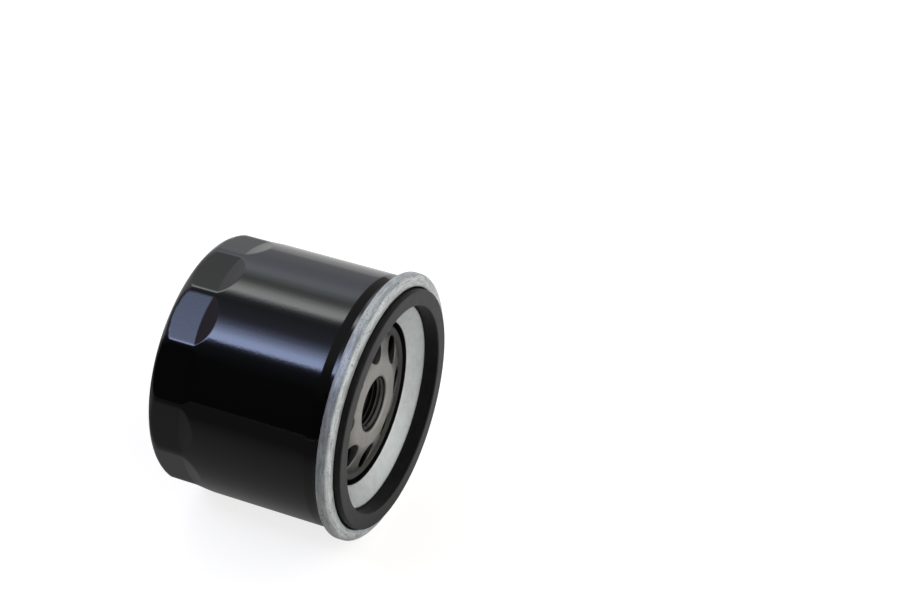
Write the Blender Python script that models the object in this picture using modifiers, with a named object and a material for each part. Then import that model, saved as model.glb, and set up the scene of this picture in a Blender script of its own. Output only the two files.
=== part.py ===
"""Spin-on engine oil filter, built piece by piece around one turning axis.

Every piece is drawn in the filter's own axis frame: r is the distance from the axis and z runs
along it, zero at the gasket's sealing face and negative towards the closed end of the can.
One empty turns that frame so that the axis lies along world +X, gasket end at +X.
"""
import math

import bmesh
import bpy
from mathutils import Matrix, Vector

MM = 0.001

# Can: a deep-drawn cup with pressed wrench flats at its closed end
CAN_R = 38.0
CAN_SHEET = 0.4
CAN_END_Z = -61.2
CAN_CORNER_R = 4.2
CAN_NECK_R = 37.35
SHOULDER_START_Z = -10.2
SHOULDER_END_Z = -7.8
DISH_R = 24.0
DISH_DEPTH = 0.8
FLAT_COUNT = 14
FLAT_DEPTH = 0.8
FLAT_END_Z = -49.3
FLAT_RAMP = 4.6
FLAT_PHASE_DEG = 109.1

# Double seam that joins the can and the seaming lid
LID_SHEET = 0.4
SEAM_OUTER_R = 40.1
SEAM_TOP_Z = -1.8
SEAM_BOTTOM_Z = -5.9
SEAM_CORNER_R = 1.2
CAN_HOOK_R = 38.95
CAN_HOOK_TOP_Z = -2.75
CAN_HOOK_END_Z = -5.0
COVER_HOOK_R = 38.05
COVER_HOOK_END_Z = -3.7

# Seaming lid: gasket channel and the cone that leads down to the hub
CHANNEL_WALL_R = 36.45
CHANNEL_FLOOR_Z = -6.0
CHANNEL_INNER_R = 30.9
CONE_TOP = (30.55, -4.65)
CONE_BOTTOM = (24.9, -7.75)

# Gasket
GASKET_OUTER_R = 35.95
GASKET_INNER_R = 31.2
GASKET_HEIGHT = 5.5
GASKET_EDGE = 0.35

# Base plate: threaded neck, eight oil inlets, flange lapped under the lid
HUB_Z = -6.35
THREAD_MINOR_R = 7.3
THREAD_MOUTH_R = 8.0
MOUTH_LIP_R = 8.9
NECK_OUTER_R = 10.0
NECK_END_Z = -15.0
BOSS_R = 12.8
INLET_COUNT = 8
INLET_CIRCLE_R = 17.35
INLET_R = 4.0
INLET_PHASE_DEG = 31.0
FLANGE_R = 29.4

# Anti-drain valve: a rubber bead round the neck with a flap over the inlets
VALVE_BEAD_INNER_R = 10.4
VALVE_BEAD_END_Z = -16.8
VALVE_LIP_R = 23.4

# Filter element
CAP_R = 30.8
CAP_SHEET = 0.4
UPPER_CAP_Z = -17.3
LOWER_CAP_Z = -50.5
CAP_SKIRT = 2.1
COLLAR_R = 12.0
COLLAR_END_Z = -20.6
TUBE_OUTER_R = 11.5
TUBE_SHEET = 0.4
TUBE_TOP_Z = -17.9
TUBE_HOLE_R = 1.6
MEDIA_OUTER_R = 29.2
MEDIA_INNER_R = 13.5
MEDIA_TOP_Z = -19.3
MEDIA_END_Z = -48.9
MEDIA_SHEET = 0.5
PLEAT_COUNT = 36
PLEAT_TIP = 0.55
PLEAT_ROOT = 0.35
ADHESIVE_INNER_R = 12.6
ADHESIVE_OUTER_R = 30.0

# Bypass valve in the closed-end cap
BYPASS_SEAT_R = 4.8
CAGE_R = 8.8
CAGE_TOP_Z = -38.2
POPPET_R = 7.1
POPPET_FACE_Z = -49.0
SPRING_R = 4.3
SPRING_WIRE_R = 0.4
SPRING_LOW_Z = -47.5
SPRING_HIGH_Z = -39.2
SPRING_TURNS = 5

# Load spring between the element and the closed end
LEAF_SHEET = 0.6
LEAF_WIDTH = 9.0
LEAF_COUNT = 4
LEAF_RING_Z = -51.4

SHELL_STEPS = 42
PLATE_STEPS = 40
INNER_STEPS = 32
SMALL_STEPS = 20


def clear_scene():
    for obj in list(bpy.data.objects):
        bpy.data.objects.remove(obj, do_unlink=True)


def new_collection(name):
    collection = bpy.data.collections.new(name)
    bpy.context.scene.collection.children.link(collection)
    return collection


def material(name, colour, roughness, metallic):
    mat = bpy.data.materials.new(name)
    mat.use_nodes = True
    shader = mat.node_tree.nodes["Principled BSDF"]
    shader.inputs["Base Color"].default_value = (*colour, 1.0)
    shader.inputs["Roughness"].default_value = roughness
    shader.inputs["Metallic"].default_value = metallic
    return mat


def add_object(name, data, mat=None, collection=None):
    """Link new data under the empty that carries the filter's axis."""
    obj = bpy.data.objects.new(name, data)
    (collection or PARTS).objects.link(obj)
    obj.parent = AXIS
    if mat:
        data.materials.append(mat)
    return obj


def arc(centre_r, centre_z, radius, start_deg, end_deg, steps):
    """Points on an arc; the angle is measured from +r towards +z."""
    points = []
    for i in range(steps + 1):
        a = math.radians(start_deg + (end_deg - start_deg) * i / steps)
        points.append((centre_r + radius * math.cos(a), centre_z + radius * math.sin(a)))
    return points


def sheet(path, thickness):
    """Closed outline of a bent sheet: the centre line offset to both sides with mitred bends."""
    half = thickness / 2
    left, right = [], []
    for i, (r, z) in enumerate(path):
        normals = []
        for a, b in ((i - 1, i), (i, i + 1)):
            if a < 0 or b >= len(path):
                continue
            dr, dz = path[b][0] - path[a][0], path[b][1] - path[a][1]
            length = math.hypot(dr, dz)
            normals.append((-dz / length, dr / length))
        nr = sum(n[0] for n in normals) / len(normals)
        nz = sum(n[1] for n in normals) / len(normals)
        scale = half / (nr * nr + nz * nz)
        left.append((r + nr * scale, z + nz * scale))
        right.append((r - nr * scale, z - nz * scale))
    return left + right[::-1]


def signed_area(outline):
    pairs = zip(outline, outline[1:] + outline[:1])
    return sum(r0 * z1 - r1 * z0 for (r0, z0), (r1, z1) in pairs) / 2


def profile_mesh(name, points, closed):
    mesh = bpy.data.meshes.new(name)
    edges = [(i, i + 1) for i in range(len(points) - 1)]
    if closed:
        edges.append((len(points) - 1, 0))
    mesh.from_pydata([(r * MM, 0.0, z * MM) for r, z in points], edges, [])
    return mesh


def screw(obj, steps):
    mod = obj.modifiers.new("turn", "SCREW")
    mod.axis = "Z"
    mod.angle = 2 * math.pi
    mod.steps = steps
    mod.render_steps = steps
    mod.use_merge_vertices = True
    mod.merge_threshold = 0.00001
    mod.use_smooth_shade = False


def turned_ring(name, outline, steps, mat=None, collection=None):
    """A ring turned from a closed outline that stays off the axis."""
    if signed_area(outline) > 0:
        outline = outline[::-1]
    obj = add_object(name, profile_mesh(name, outline, True), mat, collection)
    screw(obj, steps)
    return obj


def turned_solid(name, profile, steps, mat):
    """A solid turned from a profile that starts and ends on the axis, outer side running down."""
    obj = add_object(name, profile_mesh(name, profile, False), mat)
    screw(obj, steps)
    return obj


def baked(obj):
    """Replace an object's live modifiers or curve by the mesh they make."""
    graph = bpy.context.evaluated_depsgraph_get()
    mesh = bpy.data.meshes.new_from_object(obj.evaluated_get(graph))
    if obj.type == "CURVE":
        name, mat = obj.name, obj.data.materials[0]
        bpy.data.objects.remove(obj, do_unlink=True)
        obj = add_object(name, mesh)
        if not mesh.materials:
            mesh.materials.append(mat)
    else:
        obj.modifiers.clear()
        obj.data = mesh
    edit = bmesh.new()
    edit.from_mesh(mesh)
    bmesh.ops.remove_doubles(edit, verts=edit.verts, dist=0.000005)
    edit.to_mesh(mesh)
    edit.free()
    return obj


def boolean(obj, other, operation):
    mod = obj.modifiers.new(operation.lower(), "BOOLEAN")
    mod.operation = operation
    mod.solver = "EXACT"
    mod.object = other
    other.hide_render = True
    other.display_type = "WIRE"


def placed_cylinder(edit, radius, length, centre, along, segments):
    """Add a capped cylinder whose axis points along the given direction."""
    turn = Vector((0, 0, 1)).rotation_difference(Vector(along)).to_matrix().to_4x4()
    place = Matrix.Translation(Vector(centre) * MM) @ turn
    bmesh.ops.create_cone(edit, cap_ends=True, segments=segments, radius1=radius * MM,
                          radius2=radius * MM, depth=length * MM, matrix=place)


def polar(radius, degrees, z=0.0):
    a = math.radians(degrees)
    return (radius * math.cos(a), radius * math.sin(a), z)


def axis_angle(degrees_from_y):
    """Turn an angle seen on the gasket face, from world +Y towards +Z, into the axis frame's angle."""
    return 90.0 + degrees_from_y


def press_flats(mesh):
    """Push the cup's wall inwards onto flat planes, fading out over a ramp towards the body."""
    wall_mid = CAN_R - CAN_SHEET / 2
    corner_z = CAN_END_Z + CAN_CORNER_R
    for vert in mesh.vertices:
        x, y, z = (c / MM for c in vert.co)
        radius = math.hypot(x, y)
        if z > FLAT_END_Z + FLAT_RAMP - 0.01 or radius < wall_mid - CAN_CORNER_R:
            continue
        fade = min(1.0, max(0.0, (FLAT_END_Z + FLAT_RAMP - z) / FLAT_RAMP))
        drop = min(max(corner_z - z, 0.0), CAN_CORNER_R - CAN_SHEET / 2)
        middle = wall_mid - CAN_CORNER_R + CAN_SHEET / 2
        middle += math.sqrt((CAN_CORNER_R - CAN_SHEET / 2) ** 2 - drop ** 2)
        side = 0.0 if radius > middle else CAN_SHEET
        limit = CAN_R - side - FLAT_DEPTH * fade
        for k in range(FLAT_COUNT):
            a = math.radians(axis_angle(FLAT_PHASE_DEG + (k + 0.5) * 360.0 / FLAT_COUNT))
            reach = x * math.cos(a) + y * math.sin(a)
            if reach > limit:
                x -= (reach - limit) * math.cos(a)
                y -= (reach - limit) * math.sin(a)
        vert.co = (x * MM, y * MM, z * MM)


def make_can():
    half = CAN_SHEET / 2
    hook_r = (CAN_HOOK_R - CAN_NECK_R + half) / 2
    neck = CAN_NECK_R - half
    corner = CAN_CORNER_R - half
    path = [(CAN_HOOK_R, CAN_HOOK_END_Z)]
    path += arc(neck + hook_r, CAN_HOOK_TOP_Z - hook_r, hook_r, 0, 180, 4)
    path += [(neck, SHOULDER_END_Z), (CAN_R - half, SHOULDER_START_Z)]
    path += [(CAN_R - half, FLAT_END_Z + FLAT_RAMP), (CAN_R - half, FLAT_END_Z)]
    path += arc(CAN_R - CAN_CORNER_R, CAN_END_Z + CAN_CORNER_R, corner, 0, -90, 4)
    path += [(DISH_R + 2, CAN_END_Z + half), (DISH_R, CAN_END_Z + half + DISH_DEPTH)]
    outline = sheet(path, CAN_SHEET)
    outside, inside = outline[:len(path)], outline[len(path):]
    dish_top = (0.0, CAN_END_Z + CAN_SHEET + DISH_DEPTH)
    dish_low = (0.0, CAN_END_Z + DISH_DEPTH)
    profile = [dish_top] + inside + outside + [dish_low]
    can = turned_solid("can", profile, SHELL_STEPS, BLACK_PAINT)
    can = baked(can)
    spin = math.radians(axis_angle(FLAT_PHASE_DEG))
    can.data.transform(Matrix.Rotation(spin, 4, "Z"))
    press_flats(can.data)
    return can


def make_seaming_lid():
    half = LID_SHEET / 2
    outer = SEAM_OUTER_R - half
    hem_r = (outer - COVER_HOOK_R) / 2
    top = SEAM_TOP_Z - half
    path = [(COVER_HOOK_R, COVER_HOOK_END_Z)]
    path += arc(COVER_HOOK_R + hem_r, SEAM_BOTTOM_Z + half + hem_r, hem_r, 180, 360, 4)
    path += arc(outer - SEAM_CORNER_R, top - SEAM_CORNER_R, SEAM_CORNER_R, 0, 90, 2)
    path += arc(CHANNEL_WALL_R + 0.8, top - 0.8, 0.8, 90, 180, 2)
    path += [(CHANNEL_WALL_R, CHANNEL_FLOOR_Z + 0.4), (CHANNEL_WALL_R - 0.4, CHANNEL_FLOOR_Z)]
    path += [(CHANNEL_INNER_R + 0.4, CHANNEL_FLOOR_Z), (CHANNEL_INNER_R, CHANNEL_FLOOR_Z + 0.4)]
    path += [(CHANNEL_INNER_R, CONE_TOP[1] - 0.35), CONE_TOP, CONE_BOTTOM]
    return turned_ring("seaming_lid", sheet(path, LID_SHEET), SHELL_STEPS, GALVANISED)


def make_base_plate():
    top = [(THREAD_MINOR_R, HUB_Z - 1.3), (THREAD_MOUTH_R, HUB_Z - 0.65), (MOUTH_LIP_R, HUB_Z)]
    top += [(BOSS_R, HUB_Z), (14.0, -6.6), (21.4, -8.6), (22.2, -8.55), (23.0, -8.2), (23.6, -8.6)]
    top += [(23.7, -10.6), (24.4, -10.6), (25.2, -8.2), (FLANGE_R, -5.9)]
    low = [(FLANGE_R, -8.5), (25.7, -11.4), (23.0, -12.8), (19.4, -11.3), (15.8, -10.5)]
    low += [(12.8, -10.2), (NECK_OUTER_R + 0.3, -10.2), (NECK_OUTER_R, -10.6)]
    low += [(NECK_OUTER_R, NECK_END_Z), (THREAD_MINOR_R, NECK_END_Z)]
    plate = turned_ring("base_plate", top + low, PLATE_STEPS, ZINC_STEEL)
    edit = bmesh.new()
    for k in range(INLET_COUNT):
        angle = axis_angle(INLET_PHASE_DEG + k * 360.0 / INLET_COUNT)
        placed_cylinder(edit, INLET_R, 10.0, polar(INLET_CIRCLE_R, angle, -10.3), (0, 0, 1), 12)
    mesh = bpy.data.meshes.new("inlet_cutter")
    edit.to_mesh(mesh)
    edit.free()
    boolean(plate, add_object("inlet_cutter", mesh, collection=CUTTERS), "DIFFERENCE")
    return plate


def make_gasket():
    e = GASKET_EDGE
    low = -GASKET_HEIGHT
    outline = [(GASKET_INNER_R + e, 0.0), (GASKET_OUTER_R - e, 0.0), (GASKET_OUTER_R, -e)]
    outline += [(GASKET_OUTER_R, low), (GASKET_INNER_R, low), (GASKET_INNER_R, -e)]
    return turned_ring("gasket", outline, SHELL_STEPS, BLACK_RUBBER)


def make_anti_drain_valve():
    outline = [(VALVE_BEAD_INNER_R, -10.9), (12.0, -10.9), (12.5, -13.9), (13.6, -14.4)]
    outline += [(VALVE_LIP_R - 1.0, -13.4), (VALVE_LIP_R - 0.3, -13.1), (VALVE_LIP_R, -13.6)]
    outline += [(VALVE_LIP_R - 0.5, -14.1), (14.8, -15.5), (14.2, VALVE_BEAD_END_Z)]
    outline += [(VALVE_BEAD_INNER_R, VALVE_BEAD_END_Z)]
    return turned_ring("anti_drain_valve", outline, INNER_STEPS, BLACK_RUBBER)


def make_end_caps():
    skirt = CAP_R - CAP_SHEET / 2
    upper = [(skirt, UPPER_CAP_Z - CAP_SKIRT), (skirt, UPPER_CAP_Z), (COLLAR_R, UPPER_CAP_Z)]
    upper += [(COLLAR_R, COLLAR_END_Z)]
    turned_ring("upper_end_cap", sheet(upper, CAP_SHEET), INNER_STEPS, TINPLATE)
    lower = [(skirt, LOWER_CAP_Z + CAP_SKIRT), (skirt, LOWER_CAP_Z), (BYPASS_SEAT_R, LOWER_CAP_Z)]
    turned_ring("lower_end_cap", sheet(lower, CAP_SHEET), INNER_STEPS, TINPLATE)


def make_adhesive(name, top_z, low_z):
    outline = [(ADHESIVE_INNER_R, top_z), (ADHESIVE_OUTER_R, top_z)]
    outline += [(ADHESIVE_OUTER_R, low_z), (ADHESIVE_INNER_R, low_z)]
    turned_ring(name, outline, INNER_STEPS, PLASTISOL)


def make_center_tube():
    inner = TUBE_OUTER_R - TUBE_SHEET
    low = LOWER_CAP_Z + CAP_SHEET / 2 + 0.3
    outline = [(inner, TUBE_TOP_Z), (TUBE_OUTER_R, TUBE_TOP_Z), (TUBE_OUTER_R, low), (inner, low)]
    tube = turned_ring("center_tube", outline, INNER_STEPS, TINPLATE)
    edit = bmesh.new()
    rows = 4
    for row in range(rows):
        z = -24.5 - row * 6.2
        for k in range(4):
            angle = 45.0 * k + 22.5 * (row % 2)
            placed_cylinder(edit, TUBE_HOLE_R, 30.0, (0, 0, z + 0.12 * k), polar(1.0, angle), 8)
    mesh = bpy.data.meshes.new("tube_cutter")
    edit.to_mesh(mesh)
    edit.free()
    cutter = add_object("tube_cutter", mesh, collection=CUTTERS)
    boolean(tube, cutter, "DIFFERENCE")
    tube.modifiers[-1].use_self = True


def pleat_path():
    """Centre line of the pleated sheet in plan: narrow flats at every tip and root."""
    points = []
    for k in range(PLEAT_COUNT):
        tip = 2 * math.pi * k / PLEAT_COUNT
        root = tip + math.pi / PLEAT_COUNT
        for angle, radius, half in ((tip, MEDIA_OUTER_R, PLEAT_TIP), (root, MEDIA_INNER_R, PLEAT_ROOT)):
            for side in (-1, 1):
                a = angle + side * half / radius
                points.append((radius * math.cos(a), radius * math.sin(a)))
    return points


def closed_offset(points, distance):
    """Offset a closed path sideways with mitred corners."""
    count = len(points)
    moved = []
    for i, (x, y) in enumerate(points):
        normals = []
        for a, b in (((i - 1) % count, i), (i, (i + 1) % count)):
            dx, dy = points[b][0] - points[a][0], points[b][1] - points[a][1]
            length = math.hypot(dx, dy)
            normals.append((dy / length, -dx / length))
        nx = (normals[0][0] + normals[1][0]) / 2
        ny = (normals[0][1] + normals[1][1]) / 2
        scale = distance / (nx * nx + ny * ny)
        moved.append((x + nx * scale, y + ny * scale))
    return moved


def make_filter_media():
    curve = bpy.data.curves.new("filter_media", "CURVE")
    curve.dimensions = "2D"
    curve.fill_mode = "BOTH"
    curve.extrude = (MEDIA_TOP_Z - MEDIA_END_Z) / 2 * MM
    centre_line = pleat_path()
    for distance in (MEDIA_SHEET / 2, -MEDIA_SHEET / 2):
        outline = closed_offset(centre_line, distance)
        spline = curve.splines.new("POLY")
        spline.points.add(len(outline) - 1)
        for point, (x, y) in zip(spline.points, outline):
            point.co = (x * MM, y * MM, 0.0, 1.0)
        spline.use_cyclic_u = True
    media = add_object("filter_media", curve, PAPER)
    media.location.z = (MEDIA_TOP_Z + MEDIA_END_Z) / 2 * MM


def extruded(name, outline, width, mat=None, collection=None):
    """A plate drawn in the r-z plane and given width across it, centred on the axis plane."""
    edit = bmesh.new()
    verts = [edit.verts.new((r * MM, -width / 2 * MM, z * MM)) for r, z in outline]
    face = edit.faces.new(verts)
    pushed = bmesh.ops.extrude_face_region(edit, geom=[face])
    moved = [v for v in pushed["geom"] if isinstance(v, bmesh.types.BMVert)]
    bmesh.ops.translate(edit, vec=(0.0, width * MM, 0.0), verts=moved)
    bmesh.ops.recalc_face_normals(edit, faces=edit.faces)
    mesh = bpy.data.meshes.new(name)
    edit.to_mesh(mesh)
    edit.free()
    return add_object(name, mesh, mat, collection)


def make_media_clip():
    """U-shaped strip crimped over the pleat where the two ends of the sheet meet."""
    back, mouth = 30.0, 22.5
    gap, wall = 1.25, 0.35
    path = [(mouth, gap), (back - wall, gap), (back - wall, -gap), (mouth, -gap)]
    outline = sheet(path, wall)
    edit = bmesh.new()
    top, low = (MEDIA_TOP_Z - 0.3) * MM, (MEDIA_END_Z + 0.3) * MM
    verts = [edit.verts.new((x * MM, y * MM, low)) for x, y in outline]
    face = edit.faces.new(verts)
    pushed = bmesh.ops.extrude_face_region(edit, geom=[face])
    moved = [v for v in pushed["geom"] if isinstance(v, bmesh.types.BMVert)]
    bmesh.ops.translate(edit, vec=(0.0, 0.0, top - low), verts=moved)
    bmesh.ops.recalc_face_normals(edit, faces=edit.faces)
    mesh = bpy.data.meshes.new("media_seam_clip")
    edit.to_mesh(mesh)
    edit.free()
    add_object("media_seam_clip", mesh, TINPLATE)


def make_bypass_cage():
    foot = LOWER_CAP_Z + CAP_SHEET + 0.3
    path = [(10.7, foot), (CAGE_R, foot), (CAGE_R, CAGE_TOP_Z), (2.6, CAGE_TOP_Z)]
    cage = turned_ring("bypass_cage", sheet(path, 0.4), SMALL_STEPS, TINPLATE)
    edit = bmesh.new()
    for k in range(2):
        placed_cylinder(edit, 3.0, 30.0, (0, 0, -43.5 + 0.1 * k), polar(1.0, 90.0 * k + 9.0), 8)
    mesh = bpy.data.meshes.new("cage_cutter")
    edit.to_mesh(mesh)
    edit.free()
    boolean(cage, add_object("cage_cutter", mesh, collection=CUTTERS), "DIFFERENCE")
    cage.modifiers[-1].use_self = True


def make_bypass_valve():
    face = POPPET_FACE_Z
    profile = [(0.0, -45.6), (2.4, -45.6), (2.8, -46.0), (2.8, face + 0.8), (POPPET_R - 0.2, face + 0.6)]
    profile += [(POPPET_R, face + 0.4), (POPPET_R, face), (1.6, face), (1.6, -51.4), (0.0, -51.4)]
    turned_solid("bypass_poppet", profile, SMALL_STEPS, TINPLATE)
    seal = [(1.95, face - 0.3), (POPPET_R, face - 0.3), (POPPET_R, face - 1.0), (1.95, face - 1.0)]
    turned_ring("bypass_seal", seal, SMALL_STEPS, BLACK_RUBBER)


def make_bypass_spring():
    curve = bpy.data.curves.new("bypass_spring", "CURVE")
    curve.dimensions = "3D"
    curve.bevel_depth = SPRING_WIRE_R * MM
    curve.bevel_resolution = 1
    curve.use_fill_caps = True
    steps = 12 * SPRING_TURNS
    spline = curve.splines.new("POLY")
    spline.points.add(steps)
    for i, point in enumerate(spline.points):
        x, y, z = polar(SPRING_R, 30.0 * i, SPRING_LOW_Z + (SPRING_HIGH_Z - SPRING_LOW_Z) * i / steps)
        point.co = (x * MM, y * MM, z * MM, 1.0)
    add_object("bypass_spring", curve, SPRING_STEEL)


def make_load_spring():
    """Star-shaped leaf spring: a ring under the element and bowed arms on the closed end."""
    inner, outer = 8.0, 14.0
    half = LEAF_SHEET / 2 + 0.05
    ring = [(inner, LEAF_RING_Z + half), (outer, LEAF_RING_Z + half)]
    ring += [(outer, LEAF_RING_Z - half), (inner, LEAF_RING_Z - half)]
    spring = turned_ring("load_spring", ring, INNER_STEPS, SPRING_STEEL)
    path = [(10.5, LEAF_RING_Z), (15.0, LEAF_RING_Z), (19.5, -52.7), (23.5, -55.7), (27.0, -59.2)]
    path += [(29.0, -60.1), (31.2, -59.4)]
    for k in range(LEAF_COUNT):
        arm = extruded("arm_%d" % k, sheet(path, LEAF_SHEET), LEAF_WIDTH, collection=CUTTERS)
        arm.rotation_euler.z = math.radians(360.0 * k / LEAF_COUNT + 45.0)
        boolean(spring, arm, "UNION")


clear_scene()
PARTS = new_collection("oil_filter")
CUTTERS = new_collection("cutters")
AXIS = bpy.data.objects.new("filter_axis", None)
PARTS.objects.link(AXIS)
AXIS.rotation_euler = (0.0, math.pi / 2, 0.0)

BLACK_PAINT = material("black_paint", (0.012, 0.012, 0.014), 0.15, 0.0)
GALVANISED = material("galvanised_steel", (0.52, 0.53, 0.55), 0.38, 1.0)
ZINC_STEEL = material("zinc_steel", (0.32, 0.31, 0.30), 0.4, 1.0)
BLACK_RUBBER = material("black_rubber", (0.03, 0.028, 0.03), 0.6, 0.0)
TINPLATE = material("tinplate", (0.6, 0.6, 0.58), 0.3, 1.0)
SPRING_STEEL = material("spring_steel", (0.35, 0.35, 0.36), 0.3, 1.0)
PAPER = material("filter_paper", (0.72, 0.58, 0.3), 0.9, 0.0)
PLASTISOL = material("plastisol", (0.45, 0.12, 0.06), 0.5, 0.0)

make_can()
make_seaming_lid()
make_base_plate()
make_gasket()
make_anti_drain_valve()
make_end_caps()
make_adhesive("upper_adhesive", UPPER_CAP_Z - 0.5, MEDIA_TOP_Z + 0.3)
make_adhesive("lower_adhesive", MEDIA_END_Z - 0.3, LOWER_CAP_Z + 0.5)
make_center_tube()
make_filter_media()
make_media_clip()
make_bypass_cage()
make_bypass_valve()
make_bypass_spring()
make_load_spring()
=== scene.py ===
"""Looks of a spin-on oil filter: every piece as a worked-out surface with its own finish.

The filter lies on its side. Its axis is X, with the gasket's sealing face at x = 0 and the closed
end of the can towards -X. Angles round the axis run from +Y towards +Z. Sizes are in millimetres
in this file and are turned into metres when a mesh is made.
"""
import math
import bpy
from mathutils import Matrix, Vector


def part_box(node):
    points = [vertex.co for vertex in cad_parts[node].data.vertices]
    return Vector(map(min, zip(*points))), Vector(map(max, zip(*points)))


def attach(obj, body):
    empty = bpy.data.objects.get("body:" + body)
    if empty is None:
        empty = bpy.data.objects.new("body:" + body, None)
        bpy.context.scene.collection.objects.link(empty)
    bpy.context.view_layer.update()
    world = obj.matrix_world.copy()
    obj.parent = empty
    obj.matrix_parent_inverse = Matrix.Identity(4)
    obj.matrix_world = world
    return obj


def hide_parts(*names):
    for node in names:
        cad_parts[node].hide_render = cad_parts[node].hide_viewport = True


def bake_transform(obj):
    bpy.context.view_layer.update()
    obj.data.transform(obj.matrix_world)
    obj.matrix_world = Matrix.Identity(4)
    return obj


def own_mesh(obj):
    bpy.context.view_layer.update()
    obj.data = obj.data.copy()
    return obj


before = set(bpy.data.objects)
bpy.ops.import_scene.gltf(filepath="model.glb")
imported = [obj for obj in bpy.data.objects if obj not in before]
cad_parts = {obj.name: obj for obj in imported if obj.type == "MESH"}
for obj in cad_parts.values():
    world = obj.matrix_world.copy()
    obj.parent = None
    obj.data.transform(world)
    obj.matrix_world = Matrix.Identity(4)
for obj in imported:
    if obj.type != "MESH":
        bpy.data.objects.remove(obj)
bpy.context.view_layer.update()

from types import SimpleNamespace

import bmesh
import bpy
import numpy as np
from bpy.props import FloatProperty, FloatVectorProperty, IntProperty, PointerProperty
from mathutils import Vector

bl_info = {
    "name": "Spin-on Oil Filter",
    "version": (1, 0, 0),
    "blender": (4, 5, 0),
    "location": "3D View > Sidebar > Oil Filter",
    "description": "Builds the pieces of a spin-on oil filter and their finishes",
    "category": "Object",
}

MM = 0.001
WELD = 2e-7


def span(node):
    """Lowest x, highest x and outer radius of a turned CAD node, in millimetres."""
    low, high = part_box(node)
    return low.x / MM, high.x / MM, max(high.y, high.z, -low.y, -low.z) / MM


CAN_X0 = span("can")[0]
LID_X0, LID_X1, LID_R = span("seaming_lid")
GASKET_X0, GASKET_X1, GASKET_R = span("gasket")


class FilterSizes(bpy.types.PropertyGroup):
    """Sizes that set the pieces' shapes."""
    can_radius: FloatProperty(
        name="Can radius", description="Outer radius of the can's body", default=38.0 * MM, unit="LENGTH")
    sheet: FloatProperty(
        name="Sheet", description="Thickness of the can, lid and end caps", default=0.4 * MM, unit="LENGTH")
    flat_count: IntProperty(
        name="Flats", description="Wrench flats round the closed end", default=14, min=3)
    flat_depth: FloatProperty(
        name="Flat depth", description="How deep each flat is pressed", default=0.8 * MM, unit="LENGTH")
    flat_phase: FloatProperty(
        name="Flat phase", description="Turn of a land between two flats", default=math.radians(109.1),
        subtype="ANGLE")
    seam_radius: FloatProperty(
        name="Seam radius", description="Outer radius of the rolled seam", default=LID_R * MM, unit="LENGTH")
    gasket_inner: FloatProperty(
        name="Gasket bore", description="Inner radius of the gasket", default=31.2 * MM, unit="LENGTH")
    inlet_count: IntProperty(
        name="Inlets", description="Oil inlets round the hub", default=8, min=3)
    inlet_radius: FloatProperty(
        name="Inlet radius", description="Radius of one oil inlet", default=4.0 * MM, unit="LENGTH")
    inlet_circle: FloatProperty(
        name="Inlet circle", description="Radius of the inlets' circle", default=17.35 * MM, unit="LENGTH")
    inlet_phase: FloatProperty(
        name="Inlet phase", description="Turn of the first inlet", default=math.radians(31.0),
        subtype="ANGLE")
    thread_pitch: FloatProperty(
        name="Thread pitch", description="Pitch of the hub's thread", default=25.4 / 18 * MM, unit="LENGTH")
    pleat_count: IntProperty(
        name="Pleats", description="Pleats in the filter paper", default=36, min=6)


class FilterColours(bpy.types.PropertyGroup):
    """Base colours of the finishes, as linear values."""
    enamel: FloatVectorProperty(name="Enamel", description="The can's paint", subtype="COLOR",
                                default=(0.0012, 0.0012, 0.0013))
    steel: FloatVectorProperty(name="Coated steel", description="Galvanised lid and seam", subtype="COLOR",
                               default=(0.62, 0.645, 0.63))
    plate: FloatVectorProperty(name="Base plate", description="Plated hub steel", subtype="COLOR",
                               default=(0.33, 0.318, 0.295))
    rubber: FloatVectorProperty(name="Rubber", description="Gasket and valve rubber", subtype="COLOR",
                                default=(0.006, 0.0055, 0.0055))
    tin: FloatVectorProperty(name="Tinplate", description="End caps, tube and cage", subtype="COLOR",
                             default=(0.66, 0.65, 0.62))
    paper: FloatVectorProperty(name="Paper", description="Resin-treated filter paper", subtype="COLOR",
                               default=(0.62, 0.46, 0.20))
    adhesive: FloatVectorProperty(name="Adhesive", description="Cured end cap adhesive", subtype="COLOR",
                                  default=(0.30, 0.06, 0.03))


def measured(context):
    """The sizes with every length in millimetres. Angles stay in radians."""
    group = context.scene.filter_sizes
    sizes = SimpleNamespace()
    for name in group.__annotations__:
        value = getattr(group, name)
        is_length = group.bl_rna.properties[name].unit == "LENGTH"
        setattr(sizes, name, round(value / MM, 6) if is_length else value)
    return sizes


# ---------------------------------------------------------------- surfaces

def rounded(corners, spacing=1.0):
    """A line through corners (x, r, fillet) in which each corner with a fillet becomes an arc.

    The arc starts and ends at the fillet times the tangent of half the turn from its corner.
    """
    line = []
    points = np.array([c[:2] for c in corners], float)
    for i, (x, r, fillet) in enumerate(corners):
        here = points[i]
        if fillet <= 0 or i in (0, len(corners) - 1):
            piece = [here]
        else:
            back = (points[i - 1] - here) / np.linalg.norm(points[i - 1] - here)
            ahead = (points[i + 1] - here) / np.linalg.norm(points[i + 1] - here)
            turn = math.pi - math.acos(float(np.clip(back @ ahead, -1, 1)))
            reach = fillet * math.tan(turn / 2)
            middle = (back + ahead) / np.linalg.norm(back + ahead)
            centre = here + middle * fillet / math.cos(turn / 2)
            first, last = here + back * reach - centre, here + ahead * reach - centre
            steps = max(3, int(math.degrees(turn) / 9))
            t = np.linspace(0, 1, steps + 1)[:, None]
            piece = centre + (np.sin((1 - t) * turn) * first + np.sin(t * turn) * last) / math.sin(turn)
        if line:
            gap = np.linalg.norm(piece[0] - line[-1])
            count = int(gap / spacing)
            if count > 1:
                t = np.linspace(0, 1, count + 1)[1:-1, None]
                line.extend(line[-1] + (piece[0] - line[-1]) * t)
        line.extend(piece)
    return np.array(line)


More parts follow.
